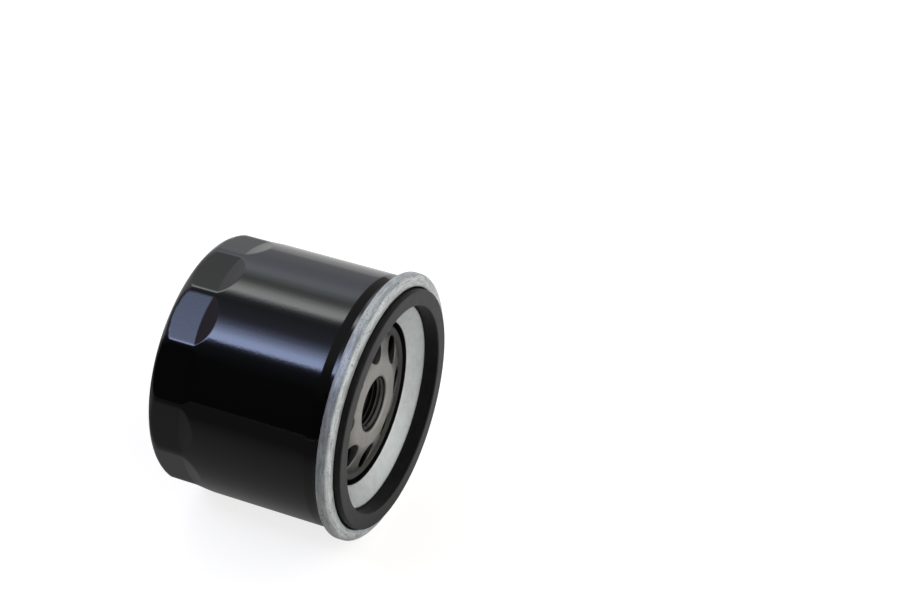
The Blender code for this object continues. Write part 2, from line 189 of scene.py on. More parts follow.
def sheet_outline(line, thickness, round_ends=True):
    """Closed outline of a bent sheet: its centre line moved half a thickness to either side.

    The sides follow the line's normals, and each end is a half circle.
    """
    step = np.gradient(line, axis=0)
    step /= np.linalg.norm(step, axis=1)[:, None]
    normal = np.stack([-step[:, 1], step[:, 0]], axis=1) * thickness / 2
    if not round_ends:
        return np.concatenate([line + normal, (line - normal)[::-1]])
    a = np.linspace(0, math.pi, 6)[1:-1, None]
    tail = line[-1] + normal[-1] * np.cos(a) + step[-1] * thickness / 2 * np.sin(a)
    head = line[0] - normal[0] * np.cos(a) - step[0] * thickness / 2 * np.sin(a)
    return np.concatenate([line + normal, tail, (line - normal)[::-1], head])


def turned(outline, angles):
    """Grid of an outline of (x, r) points carried round the X axis to every angle."""
    x, r = outline[:, :1], outline[:, 1:]
    return np.stack([x + 0 * angles, r * np.cos(angles), r * np.sin(angles)], axis=-1)


def circle(count, phase=0.0):
    """Evenly spaced angles once round, from a first angle in radians."""
    return phase + np.arange(count) * 2 * math.pi / count


def quads(rows, columns, wrap_rows, wrap_columns, start):
    """Corner numbers of a grid's faces, with its last row or column joined to its first on request."""
    i = np.arange(rows if wrap_rows else rows - 1)[:, None]
    j = np.arange(columns if wrap_columns else columns - 1)[None, :]
    i2, j2 = (i + 1) % rows, (j + 1) % columns
    corners = [i * columns + j, i * columns + j2, i2 * columns + j2, i2 * columns + j]
    return start + np.stack(np.broadcast_arrays(*corners), axis=-1).reshape(-1, 4)


def solid(name, grids, sharp=38.0):
    """One closed mesh from grids of points in millimetres: (grid, wrap rows, wrap columns).

    Grids that meet share their edge points, which are welded, and faces are then turned outwards.
    """
    points, faces, start = [], [], 0
    for grid, wrap_rows, wrap_columns in grids:
        rows, columns = grid.shape[:2]
        points.append(grid.reshape(-1, 3) * MM)
        faces.append(quads(rows, columns, wrap_rows, wrap_columns, start))
        start += rows * columns
    points, faces = np.concatenate(points), np.concatenate(faces)
    mesh = bpy.data.meshes.new(name)
    mesh.vertices.add(len(points))
    mesh.vertices.foreach_set("co", points.astype(np.float32).ravel())
    mesh.loops.add(faces.size)
    mesh.loops.foreach_set("vertex_index", faces.astype(np.int32).ravel())
    mesh.polygons.add(len(faces))
    mesh.polygons.foreach_set("loop_start", np.arange(0, faces.size, 4, dtype=np.int32))
    mesh.update(calc_edges=True)
    edit = bmesh.new()
    edit.from_mesh(mesh)
    bmesh.ops.remove_doubles(edit, verts=edit.verts, dist=WELD)
    bmesh.ops.dissolve_degenerate(edit, edges=edit.edges, dist=WELD / 4)
    bmesh.ops.recalc_face_normals(edit, faces=edit.faces)
    edit.to_mesh(mesh)
    edit.free()
    edges = np.empty(len(mesh.loops), np.int32)
    mesh.loops.foreach_get("edge_index", edges)
    if np.any(np.unique(edges, return_counts=True)[1] != 2):
        raise RuntimeError(f"{name} isn't a closed surface")
    mesh.shade_smooth()
    mesh.set_sharp_from_angle(angle=math.radians(sharp))
    obj = bpy.data.objects.new(name, mesh)
    bpy.context.scene.collection.objects.link(obj)
    return obj


def turned_piece(name, outline, count):
    """A ring turned from one closed outline."""
    return solid(name, [(turned(outline, circle(count)), True, True)])


def between(inner, outer, steps, power=1.0):
    """Rows of points that run in straight lines from one loop to another of the same length."""
    t = (np.linspace(0, 1, steps + 1) ** power)[:, None, None]
    return inner[None] + (outer - inner)[None] * t


def show(obj, mat, body, slot, *nodes):
    """Give a piece its finish, put it on its body and let it stand for its CAD nodes."""
    obj.data.materials.clear()
    obj.data.materials.append(mat)
    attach(obj, body)
    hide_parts(*nodes)
    return obj


def dress(node, mat):
    """Give a carried-over CAD node its finish on the object's own slots, with its mesh left alone."""
    if not node.material_slots:
        raise RuntimeError(f"{node.name} has no material slot to dress")
    for held in node.material_slots:
        held.link = "OBJECT"
        held.material = mat


# ---------------------------------------------------------------- finishes

class Wire:
    """A node's output in an expression: each operator adds one Math node."""

    def __init__(self, paint, socket):
        self.paint = paint
        self.socket = socket

    def math(self, operation, *values):
        return self.paint.node("ShaderNodeMath", {"operation": operation}, dict(enumerate(values)))

    def __add__(self, other):
        return self.math("ADD", self, other)

    def __radd__(self, other):
        return self.math("ADD", other, self)

    def __sub__(self, other):
        return self.math("SUBTRACT", self, other)

    def __rsub__(self, other):
        return self.math("SUBTRACT", other, self)

    def __mul__(self, other):
        return self.math("MULTIPLY", self, other)

    def __rmul__(self, other):
        return self.math("MULTIPLY", other, self)

    def __truediv__(self, other):
        return self.math("DIVIDE", self, other)

    def __pow__(self, other):
        return self.math("POWER", self, other)

    def ramp(self, low, high):
        """0 below low, 1 above high and a smooth rise between."""
        settings = {"interpolation_type": "SMOOTHSTEP"}
        return self.paint.node("ShaderNodeMapRange", settings, {0: self, 1: low, 2: high, 3: 0.0, 4: 1.0})


class Paint:
    """Builds the nodes of one material or world."""

    def __init__(self, owner):
        owner.use_nodes = True
        self.tree = owner.node_tree
        self.tree.nodes.clear()

    def node(self, kind, settings, inputs, output=0):
        """Add a node: its settings first, a ramp's stops among them, then its sockets' values or links."""
        made = self.tree.nodes.new(kind)
        for key, value in settings.items():
            if key == "stops":
                elements = made.color_ramp.elements
                while len(elements) < len(value):
                    elements.new(1.0)
                for element, (position, colour) in zip(elements, value):
                    element.position = position
                    element.color = (*colour, 1.0)
            else:
                setattr(made, key, value)
        for key, value in inputs.items():
            if isinstance(value, Wire):
                self.tree.links.new(value.socket, made.inputs[key])
            else:
                made.inputs[key].default_value = value
        return Wire(self, made.outputs[output] if made.outputs else None)

    def place(self):
        """The point on the piece, in metres, as three numbers."""
        point = self.node("ShaderNodeTexCoord", {}, {}, "Object")
        return point, [self.node("ShaderNodeSeparateXYZ", {}, {0: point}, i) for i in range(3)]

    def vector(self, x, y, z):
        return self.node("ShaderNodeCombineXYZ", {}, {0: x, 1: y, 2: z})

    def noise(self, at, scale, detail=3.0, roughness=0.55, w=None):
        settings = {"noise_dimensions": "3D" if w is None else "4D"}
        inputs = {"Vector": at, "Scale": scale, "Detail": detail, "Roughness": roughness}
        if w is not None:
            inputs["W"] = w
        return self.node("ShaderNodeTexNoise", settings, inputs, "Fac")

    def mix(self, factor, a, b):
        return self.node("ShaderNodeMix", {"data_type": "RGBA"}, {0: factor, 6: a, 7: b}, 2)

    def bump(self, height, distance, strength=1.0, normal=None):
        inputs = {"Strength": strength, "Distance": distance, "Height": height}
        if normal is not None:
            inputs["Normal"] = normal
        return self.node("ShaderNodeBump", {}, inputs)

    def surface(self, **inputs):
        names = {key.replace("_", " "): value for key, value in inputs.items()}
        shader = self.node("ShaderNodeBsdfPrincipled", {}, names)
        self.node("ShaderNodeOutputMaterial", {}, {"Surface": shader})


FINISHES = {}


def finish(name):
    """Make each finish once and hand out the same material after that."""
    if name not in FINISHES:
        mat = bpy.data.materials.new(name)
        MAKERS[name](Paint(mat), bpy.context.scene.filter_colours)
        FINISHES[name] = mat
    return FINISHES[name]


def rgba(colour, gain=1.0):
    """A colour with its brightness changed and full alpha."""
    return (*[c * gain for c in colour], 1.0)


def black_enamel(p, colours):
    """Sprayed gloss enamel: faint orange peel, fine dust in the film and soft handling marks."""
    at, _ = p.place()
    peel = p.noise(at, 1300.0, 2.0, 0.55)
    smear = p.noise(at, 55.0, 3.0, 0.6)
    dust = p.noise(at, 5200.0, 1.0, 0.5).ramp(0.76, 0.82)
    base = p.mix(dust * 0.6, rgba(colours.enamel), (0.03, 0.03, 0.032, 1.0))
    rough = 0.05 + smear.ramp(0.35, 0.8) * 0.04 + dust * 0.25
    relief = p.bump(peel, 0.000014, 0.55)
    p.surface(Base_Color=base, Roughness=rough, Normal=relief, IOR=1.5)


def round_axis(p, along, across, turn):
    """Coordinates that follow the turning: x and radius at their own scales, angle as a circle."""
    at, (x, y, z) = p.place()
    radius = (y * y + z * z) ** 0.5
    vector = p.vector(x * along, y / radius * turn, z / radius * turn)
    return at, x, radius, vector, radius * across


def coated_steel(p, colours):
    """Galvanised sheet: soft spangle, rolled streaks along the seam, small dark pits."""
    at, _, radius, streak_at, streak_w = round_axis(p, 1800.0, 1800.0, 7.0)
    streak = p.noise(streak_at, 1.0, 4.0, 0.65, streak_w)
    spangle = p.noise(at, 420.0, 3.0, 0.6)
    grain = p.noise(at, 2100.0, 3.0, 0.65)
    cloud = p.noise(at, 95.0, 2.0, 0.5)
    pits = p.noise(at, 1300.0, 2.0, 0.6).ramp(0.62, 0.70) * cloud.ramp(0.40, 0.60)
    rim = radius.ramp(0.0362, 0.0368)
    tone = 0.78 + (spangle - 0.5) * 0.35 + (streak - 0.5) * 1.7 * rim + (cloud - 0.5) * 0.5 * rim
    tone = tone + (grain - 0.5) * (0.2 + rim * 0.45)
    light = p.mix(tone.ramp(0.2, 1.2), rgba(colours.steel, 0.4), rgba(colours.steel, 1.1))
    base = p.mix(pits * rim * 0.8, light, (0.14, 0.12, 0.10, 1.0))
    rough = 0.44 + rim * 0.06 + (spangle - 0.5) * 0.12 + (streak - 0.5) * 0.4 * rim + pits * 0.2
    relief = p.bump(streak * rim * 0.8 + spangle * 0.3, 0.00004, 0.7)
    relief = p.bump(pits, -0.00002, 0.7, relief)
    p.surface(Base_Color=base, Metallic=0.92 - rim * 0.25, Roughness=rough, Normal=relief)


def plated_steel(p, colours):
    """Pressed plate with a dull plating: faint draw lines round the hub, specks and a warm cast. Painted
    shade darkens it outwards from the hub plateau, makes it near black inside the inlets, in the groove,
    under the lid and on the underside, and darkens the threaded bore.
    """
    at, x, radius, ring_at, ring_w = round_axis(p, 900.0, 2600.0, 3.0)
    ring = p.noise(ring_at, 1.0, 3.0, 0.6, ring_w)
    grain = p.noise(at, 2600.0, 2.0, 0.6)
    cloud = p.noise(at, 140.0, 2.0, 0.5)
    specks = grain.ramp(0.66, 0.76)
    # Painted shade: the threaded bore is darkened to near black; the lower roughness there gives it an oily
    # gloss.
    oil = 1 - radius.ramp(0.0080, 0.0086)
    # Painted shade: the plate's colour darkens outwards from the hub plateau over the slope and the ridge.
    worn = 1 - radius.ramp(0.0122, 0.0165) * 0.48 - radius.ramp(0.0180, 0.0215) * 0.36
    tone = 0.5 + (ring - 0.5) * 0.6 + (cloud - 0.5) * 0.7
    light = p.mix(tone.ramp(0.1, 0.9), rgba(colours.plate, 0.72), rgba(colours.plate, 1.12))
    # Painted shade: near black inside the inlets, in the groove, on the flange under the lid and on the
    # underside.
    unshaded_face = x.ramp(-0.0098, -0.0088) * (1 - radius.ramp(0.0233, 0.0237))
    stained = p.mix(cloud.ramp(0.52, 0.72) * 0.45, light, (0.20, 0.17, 0.07, 1.0))
    with_painted_shade = p.mix(worn * unshaded_face, (0.008, 0.008, 0.008, 1.0), stained)
    base = p.mix(specks * 0.5 + oil * 0.9, with_painted_shade, rgba(colours.plate, 0.06))
    rough = 0.40 + (ring - 0.5) * 0.15 + specks * 0.15 - oil * 0.12
    relief = p.bump(ring * 0.6 + grain * 0.4, 0.00002, 0.5)
    p.surface(Base_Color=base, Metallic=0.95, Roughness=rough, Normal=relief)


def gasket_rubber(p, colours):
    """Lathe-cut nitrile rubber: fine cut lines round the ring and a dusty bloom."""
    at, _, _, ring_at, ring_w = round_axis(p, 2400.0, 2400.0, 2.0)
    ring = p.noise(ring_at, 1.0, 2.0, 0.6, ring_w)
    bloom = p.noise(at, 260.0, 4.0, 0.6)
    grain = p.noise(at, 3600.0, 2.0, 0.6)
    base = p.mix(bloom.ramp(0.35, 0.75) * 0.45 + grain.ramp(0.55, 0.8) * 0.2,
                 rgba(colours.rubber), (0.020, 0.018, 0.017, 1.0))
    rough = 0.46 + (bloom - 0.5) * 0.2 + (grain - 0.5) * 0.1
    relief = p.bump(ring * 0.7 + grain * 0.3, 0.00002, 0.35)
    p.surface(Base_Color=base, Roughness=rough, Normal=relief, Specular_IOR_Level=0.27)


def moulded_rubber(p, colours):
    """Moulded valve rubber: matte, with flow mottling and a soft bloom."""
    at, _ = p.place()
    bloom = p.noise(at, 180.0, 4.0, 0.6)
    grain = p.noise(at, 3000.0, 2.0, 0.6)
    base = p.mix(bloom.ramp(0.4, 0.8) * 0.4, rgba(colours.rubber, 0.6), (0.012, 0.011, 0.011, 1.0))
    rough = 0.62 + (grain - 0.5) * 0.2
    p.surface(Base_Color=base, Roughness=rough, Normal=p.bump(grain, 0.00002, 0.3), Specular_IOR_Level=0.12)


def tinplate(p, colours):
    """Tinned sheet: rolling grain in one direction, soft clouding and a few handling scratches."""
    at, (x, y, z) = p.place()
    grain = p.noise(p.vector(x * 1500.0, y * 60.0, z * 1500.0), 1.0, 3.0, 0.6)
    cloud = p.noise(at, 110.0, 2.0, 0.5)
    scratch = p.noise(p.vector(x * 300.0, y * 5200.0, z * 300.0), 1.0, 2.0, 0.5).ramp(0.68, 0.74)
    base = p.mix((grain * 0.6 + cloud * 0.4).ramp(0.3, 0.75), rgba(colours.tin, 0.8), rgba(colours.tin, 1.1))
    rough = 0.24 + (cloud - 0.5) * 0.15 + scratch * 0.2
    relief = p.bump(grain - scratch * 0.6, 0.00002, 0.3)
    p.surface(Base_Color=base, Metallic=1.0, Roughness=rough, Normal=relief)


def spring_steel(p, colours):
    """Oil-tempered spring steel: blue-grey heat tint and drawing lines."""
    at, _ = p.place()
    tint = p.noise(at, 160.0, 3.0, 0.6)
    line = p.noise(at, 2400.0, 2.0, 0.6)
    base = p.mix(tint.ramp(0.35, 0.7), (0.30, 0.31, 0.34, 1.0), (0.46, 0.43, 0.38, 1.0))
    rough = 0.28 + (line - 0.5) * 0.2
    p.surface(Base_Color=base, Metallic=1.0, Roughness=rough, Normal=p.bump(line, 0.00001, 0.4))


def filter_paper(p, colours):
    """Resin-treated cellulose: tangled fibres, slight mottling and a soft matte surface."""
    at, (x, y, z) = p.place()
    fibre = p.noise(at, 2600.0, 5.0, 0.7)
    mottle = p.noise(at, 240.0, 3.0, 0.6)
    crease = p.noise(p.vector(x * 900.0, y * 90.0, z * 90.0), 1.0, 2.0, 0.5)
    tone = (fibre * 0.6 + mottle * 0.4).ramp(0.3, 0.72)
    base = p.mix(tone, rgba(colours.paper, 0.75), rgba(colours.paper, 1.2))
    relief = p.bump(fibre * 0.7 + crease * 0.3, 0.00006, 0.6)
    p.surface(Base_Color=base, Roughness=0.86 + (mottle - 0.5) * 0.1, Normal=relief)


def cured_adhesive(p, colours):
    """Oven-cured plastisol: levelled satin skin with small bubbles."""
    at, _ = p.place()
    cells = p.node("ShaderNodeTexVoronoi", {}, {"Vector": at, "Scale": 900.0}, "Distance")
    bubbles = 1 - cells.ramp(0.05, 0.22)
    sag = p.noise(at, 200.0, 2.0, 0.5)
    base = p.mix(sag.ramp(0.3, 0.7), rgba(colours.adhesive, 0.8), rgba(colours.adhesive, 1.2))
    relief = p.bump(bubbles * 0.5 + sag, 0.00008, 0.5)
    p.surface(Base_Color=base, Roughness=0.38 + bubbles * 0.15, Normal=relief)


MAKERS = {maker.__name__: maker for maker in (
    black_enamel, coated_steel, plated_steel, gasket_rubber, moulded_rubber, tinplate, spring_steel,
    filter_paper, cured_adhesive,
)}


# ---------------------------------------------------------------- pieces

FLAT_FRONT = -49.3
FLAT_RAMP = 4.6
FLAT_BOW = 0.8
EDGE_SOFTNESS = 0.08
FLAT_STEPS = 44

NECK_R = 37.35
HOOK_R, HOOK_TOP, HOOK_END = 38.95, -2.75, -5.0
SHOULDER_X0, SHOULDER_X1 = -10.1, -7.9
RAMP_X0, RAMP_X1 = -51.0, -44.4
CORNER_FILLET = 4.0
DISH_R, DISH_DEPTH = 24.0, 0.8


def soft_least(a, b, k):
    """The smaller of two values, rounded where they are closer than k."""
    h = np.clip(0.5 + 0.5 * (b - a) / k, 0, 1)
    return b + (a - b) * h - k * h * (1 - h)


def pressed(grid, inset, angles, s):
    """Push the can's wall onto its flats.

    A flat's plane stands at its distance from the axis over the cosine of the angle from its
    middle. In front of it the plane rises again over a ramp, seven tenths evenly and the rest as a
    square, and the ramp starts further back towards the middle of the flat.
    """
    pitch = 2 * math.pi / s.flat_count
    off = (angles - s.flat_phase) % pitch - pitch / 2
    half = math.acos(1 - s.flat_depth / s.can_radius)
    share = np.clip(np.abs(off) / half, 0, 1)
    front = FLAT_FRONT - FLAT_BOW * (1 - share ** 2)
    x = grid[..., 0]
    rise = np.maximum((x - front) / FLAT_RAMP, 0)
    depth = s.flat_depth * (1 - 0.7 * rise - 0.3 * rise ** 2)
    limit = (s.can_radius - inset - depth) / np.cos(off)
    r = np.hypot(grid[..., 1], grid[..., 2])
    held = np.where(x < FLAT_FRONT + 3 * FLAT_RAMP, soft_least(r, limit, EDGE_SOFTNESS), r)
    scale = np.where(r > 1e-6, np.minimum(held, r) / np.maximum(r, 1e-6), 1.0)
    grid[..., 1] *= scale
    grid[..., 2] *= scale
    return grid


def can_line(s):
    """Centre line of the can's sheet, from the hook inside the seam to the middle of the closed end."""
    half = s.sheet / 2
    neck = NECK_R - half
    body = s.can_radius - half
    end = CAN_X0 + half
    line = [(HOOK_END, HOOK_R, 0), (HOOK_TOP, HOOK_R, 0.85), (HOOK_TOP, neck, 0.85)]
    line += [(SHOULDER_X1, neck, 2.2), (SHOULDER_X0, body, 2.6), (RAMP_X1 + 0.4, body, 0)]
    front = rounded(line, 2.5)
    ramp = rounded([(RAMP_X1, body, 0), (RAMP_X0, body, 0)], 0.3)
    rear = [(RAMP_X0 - 0.6, body, 0), (end, body, CORNER_FILLET), (end, DISH_R + 2.0, 1.5)]
    rear += [(end + DISH_DEPTH, DISH_R, 1.5), (end + DISH_DEPTH, 0, 0)]
    return np.concatenate([front, ramp, rounded(rear, 1.6)])


class OIL_FILTER_OT_can(bpy.types.Operator):
    """Deep-drawn can: a sheet line turned round the axis and pressed onto fourteen flats"""
    bl_idname = "oil_filter.can"
    bl_label = "Can"

    def execute(self, context):
        s = measured(context)
        line = can_line(s)
        outline = sheet_outline(line, s.sheet, round_ends=False)
        count = len(line)
        outline[count - 1:count + 1, 1] = 0.0
        inset = np.where(np.arange(2 * count) < count, s.sheet, 0.0)
        angles = circle(FLAT_STEPS * s.flat_count, s.flat_phase)
        grid = pressed(turned(outline, angles), inset[:, None], angles[None, :], s)
        can = solid("can_shell", [(grid, True, True)])
        show(can, finish("black_enamel"), "housing", "black_paint", "can")
        return {"FINISHED"}


HEM_R, HEM_END, HEM_LOW = 38.05, -3.7, -5.7
CHANNEL_R0, CHANNEL_R1, CHANNEL_FLOOR = 30.9, 36.45, -6.0
CONE_TOP_X, CONE_TOP_R = -4.6, 30.5
CONE_END_X, CONE_END_R = -7.75, 24.9


def seam_wander(angles):
    """How far the rolled seam leaves its plane, as a sum of three waves round the ring."""
    return 0.02 * np.sin(5 * angles + 1.0) + 0.012 * np.sin(13 * angles + 0.4) + 0.008 * np.sin(31 * angles)


class OIL_FILTER_OT_lid(bpy.types.Operator):
    """Seaming lid: gasket channel, hub cone and the hem rolled over the can, as one bent sheet"""
    bl_idname = "oil_filter.lid"
    bl_label = "Seaming lid"

    def execute(self, context):
        s = measured(context)
        half = s.sheet / 2
        wall = s.seam_radius - half
        top = LID_X1 - half
        line = [(HEM_END, HEM_R, 0), (HEM_LOW, HEM_R, 0.9), (HEM_LOW, wall, 0.9), (top, wall, 1.5)]
        line += [(top + 0.02, CHANNEL_R1 + 0.05, 0.4), (CHANNEL_FLOOR, CHANNEL_R1, 0.5)]
        line += [(CHANNEL_FLOOR, CHANNEL_R0, 0.4), (CONE_TOP_X + 0.05, CHANNEL_R0, 0.3)]
        line += [(CONE_TOP_X, CONE_TOP_R, 0.3), (CONE_END_X, CONE_END_R, 0)]
        outline = sheet_outline(rounded(line, 0.5), s.sheet)
        angles = circle(400)
        grid = turned(outline, angles)
        share = np.clip((outline[:, 1] - 38.5) / 1.2, 0, 1)[:, None]
        grid[..., 0] += seam_wander(angles) * share
        lid = solid("lid_and_seam", [(grid, True, True)])
        show(lid, finish("coated_steel"), "housing", "galvanised_steel", "seaming_lid")
        return {"FINISHED"}


HUB_X = -6.35
MOUTH_R, MOUTH_X, NECK_END = 8.1, -7.6, -15.0
INLET_RIM = 0.45
CELL_R0, CELL_R1 = 12.5, 22.1
UNDER_R0, UNDER_R1 = 10.8, 29.0
THREAD_MINOR_R, THREAD_MAJOR_R = 7.3, 7.94


def plate_top():
    """Upper outline of the base plate from its threaded mouth to its flange."""
    line = [(MOUTH_X, MOUTH_R, 0), (HUB_X, 8.25, 1.0), (HUB_X, 12.9, 2.0), (-8.65, 21.5, 1.2)]
    line += [(-8.15, 23.1, 0.5), (-8.6, 23.65, 0.25), (-10.6, 23.7, 0.2), (-10.6, 24.4, 0.2)]
    line += [(-8.2, 25.2, 0.4), (-5.9, 29.4, 0)]
    return rounded(line, 0.4)


def plate_low():
    """Lower outline of the base plate from its flange to the end of its neck."""
    line = [(-5.9, 29.4, 0), (-8.5, 29.4, 0.3), (-11.4, 25.7, 1.0), (-12.8, 23.0, 1.0)]
    line += [(-11.3, 19.4, 1.5), (-10.5, 15.8, 1.5), (-10.2, 12.8, 1.0), (-10.2, 10.0, 0.6)]
    line += [(NECK_END, 10.0, 0.3), (NECK_END, MOUTH_R, 0)]
    return rounded(line, 0.5)


def height_on(line, radius):
    """The x of an outline at any radius, read along its straight pieces."""
    order = np.argsort(line[:, 1], kind="stable")
    return np.interp(radius, line[order, 1], line[order, 0])


def point_on(line, radius):
    """The one point (x, r) of an outline at a radius, as a line of its own."""
    return np.array([[float(height_on(line, radius)), radius]])


def thread_grid(s, angles, mouth, tail):
    """Wall of the threaded neck.

    The radius rises evenly from crest to root and back once for each pitch along a right-handed
    helix, with a small land on both, and is cut by a chamfer at either end.
    """
    x = np.linspace(mouth, tail, 159)[:, None]
    turn = (x / s.thread_pitch - angles[None, :] / (2 * math.pi)) % 1.0
    tooth = np.clip((np.abs(turn - 0.5) * 2 - 0.12) / 0.76, 0, 1)
    radius = THREAD_MINOR_R + (THREAD_MAJOR_R - THREAD_MINOR_R) * tooth
    chamfer = np.maximum(MOUTH_R - (mouth - x), MOUTH_R - (x - tail))
    radius = np.maximum(radius, chamfer)
    return np.stack([x + 0 * angles, radius * np.cos(angles), radius * np.sin(angles)], axis=-1)


def cell_loop(r0, r1, half, arc_steps, side_steps):
    """Boundary of one sector of a ring in its own plane, with the sector's middle along the first axis."""
    arc = np.linspace(half, -half, arc_steps + 1)[:-1]
    side = np.linspace(r0, r1, side_steps + 1)[:-1]
    radius = np.concatenate([r0 + 0 * arc, side, r1 + 0 * arc, side[::-1] + (r1 - r0) / side_steps])
    angle = np.concatenate([arc, -half + 0 * side, -arc, half + 0 * side])
    return np.stack([radius * np.cos(angle), radius * np.sin(angle)], axis=1)


def inlet_cell(s, top, under, loop):
    """The three surfaces of one inlet's sector, each as (points in its plane, x).

    Rows of points run from the hole to the sector's edge on the upper and the lower side. The wall
    between them starts with a quarter circle from the upper side into the hole.
    """
    centre = np.array([s.inlet_circle, 0.0])
    away = loop - centre
    away /= np.linalg.norm(away, axis=1)[:, None]
    rows = between(centre + away * (s.inlet_radius + INLET_RIM), loop, 12, 1.3)
    floor = between(centre + away * s.inlet_radius, loop, 8)
    bend = np.linspace(0, math.pi / 2, 7)[:, None]
    edge = height_on(top, np.linalg.norm(rows[0], axis=-1))
    wall = centre + away * (s.inlet_radius + INLET_RIM * (1 - np.sin(bend)))[..., None]
    drop = edge - INLET_RIM * (1 - np.cos(bend))
    last = floor[:1]
    wall = np.concatenate([wall, last])
    drop = np.concatenate([drop, height_on(under, np.linalg.norm(last, axis=-1))])
    return [(rows, height_on(top, np.linalg.norm(rows, axis=-1))),
            (floor, height_on(under, np.linalg.norm(floor, axis=-1))),
            (wall, drop)]


class OIL_FILTER_OT_plate(bpy.types.Operator):
    """Base plate: pressed hub with its inlets and the helical thread in its neck"""
    bl_idname = "oil_filter.plate"
    bl_label = "Base plate"

    def execute(self, context):
        s = measured(context)
        arc_steps, side_steps = 24, 10
        half = math.pi / s.inlet_count
        top, low = plate_top(), plate_low()
        under = low[(low[:, 1] <= UNDER_R1) & (low[:, 1] >= UNDER_R0)]
        loop = cell_loop(CELL_R0, CELL_R1, half, arc_steps, side_steps)
        grids = []
        for flat, x in inlet_cell(s, top, under, loop):
            for a in circle(s.inlet_count, s.inlet_phase):
                y = flat[..., 0] * math.cos(a) - flat[..., 1] * math.sin(a)
                z = flat[..., 0] * math.sin(a) + flat[..., 1] * math.cos(a)
                grids.append((np.stack([x, y, z], axis=-1), False, True))
        flange = [point_on(top, CELL_R1), top[top[:, 1] > CELL_R1], low[low[:, 1] > CELL_R1],
                  point_on(under, CELL_R1)]
        hub = [top[top[:, 1] < CELL_R0], point_on(top, CELL_R0)]
        neck = [point_on(under, CELL_R0), low[np.argmax(low[:, 1] < CELL_R0):]]
        angles = s.inlet_phase - half + circle(s.inlet_count * arc_steps)
        for lines in (flange, hub, neck):
            grids.append((turned(np.concatenate(lines), angles), False, True))
        grids.append((thread_grid(s, angles, MOUTH_X, NECK_END), False, True))
        plate = solid("hub_plate", grids, 50.0)
        show(plate, finish("plated_steel"), "housing", "plated_steel", "base_plate")
        return {"FINISHED"}


class OIL_FILTER_OT_gasket(bpy.types.Operator):
    """Gasket: a square-cut rubber ring with worn corners"""
    bl_idname = "oil_filter.gasket"
    bl_label = "Gasket"

    def execute(self, context):
        s = measured(context)
        mid = (s.gasket_inner + GASKET_R) / 2
        line = [(GASKET_X1, mid, 0), (GASKET_X1, GASKET_R, 0.45), (GASKET_X0, GASKET_R, 0.25)]
        line += [(GASKET_X0, s.gasket_inner, 0.25), (GASKET_X1, s.gasket_inner, 0.4)]
        line += [(GASKET_X1, mid - 0.01, 0)]
        ring = turned_piece("gasket_ring", rounded(line, 0.6), 360)
        show(ring, finish("gasket_rubber"), "housing", "gasket_rubber", "gasket")
        return {"FINISHED"}


BEAD_R, BEAD_X0, BEAD_X1 = 10.4, -16.8, -10.9


class OIL_FILTER_OT_valve(bpy.types.Operator):
    """Anti-drain valve: a bead round the neck and a thin flap over the inlets"""
    bl_idname = "oil_filter.valve"
    bl_label = "Anti-drain valve"

    def execute(self, context):
        line = [(BEAD_X1, 11.2, 0), (BEAD_X1, 12.0, 0.3), (-13.9, 12.5, 0.6), (-14.4, 13.6, 0.6)]
        line += [(-13.4, 22.4, 0.3), (-13.1, 23.1, 0.15), (-13.6, 23.4, 0.15), (-14.1, 22.9, 0.3)]
        line += [(-15.5, 14.8, 0.5), (BEAD_X0, 14.2, 0.3), (BEAD_X0, BEAD_R, 0.3)]
        line += [(BEAD_X1, BEAD_R, 0.3), (BEAD_X1, 11.19, 0)]
        valve = turned_piece("anti_drain_flap", rounded(line, 0.7), 200)
        valve.data.materials.append(finish("moulded_rubber"))
        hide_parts("anti_drain_valve")
        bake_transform(valve)
        return {"FINISHED"}


CAP_R = 30.8
UPPER_CAP_X, LOWER_CAP_X = -17.3, -50.5
SKIRT_DEPTH = 2.1


class OIL_FILTER_OT_caps(bpy.types.Operator):
    """End caps of the element: drawn tinplate cups with their skirts and collars"""
    bl_idname = "oil_filter.caps"
    bl_label = "End caps"

    def execute(self, context):
        s = measured(context)
        skirt = CAP_R - s.sheet / 2
        upper = [(UPPER_CAP_X - SKIRT_DEPTH, skirt, 0), (UPPER_CAP_X, skirt, 0.6)]
        upper += [(UPPER_CAP_X, 12.0, 0.6), (UPPER_CAP_X - 3.3, 12.0, 0)]
        lower = [(LOWER_CAP_X + SKIRT_DEPTH, skirt, 0), (LOWER_CAP_X, skirt, 0.6), (LOWER_CAP_X, 4.8, 0)]
        caps = (("cap_upper", upper, "upper_end_cap"), ("cap_lower", lower, "lower_end_cap"))
        for name, line, node in caps:
            cap = turned_piece(name, sheet_outline(rounded(line, 1.5), s.sheet), 240)
            show(cap, finish("tinplate"), "element", "tinplate", node)
        return {"FINISHED"}


class OIL_FILTER_OT_adhesive(bpy.types.Operator):
    """Adhesive discs that bond the pleats into the end caps"""
    bl_idname = "oil_filter.adhesive"
    bl_label = "Adhesive"

    def execute(self, context):
        inner, outer = 12.6, 30.0
        discs = (("adhesive_upper", -17.8, -19.0, "upper_adhesive"),
                 ("adhesive_lower", -49.2, -50.0, "lower_adhesive"))
        for name, top, low, node in discs:
            line = [(top, 20.0, 0), (top, outer, 0.2), (low, outer, 0.35), (low, inner, 0.35)]
            line += [(top, inner, 0.2), (top, 19.9, 0)]
            disc = turned_piece(name, rounded(line, 1.5), 200)
            show(disc, finish("cured_adhesive"), "element", "plastisol", node)
        return {"FINISHED"}


PLEAT_TIP_R, PLEAT_ROOT_R = 29.2, 13.5
PAPER_X0, PAPER_X1, PAPER_THICKNESS = -48.9, -19.3, 0.5


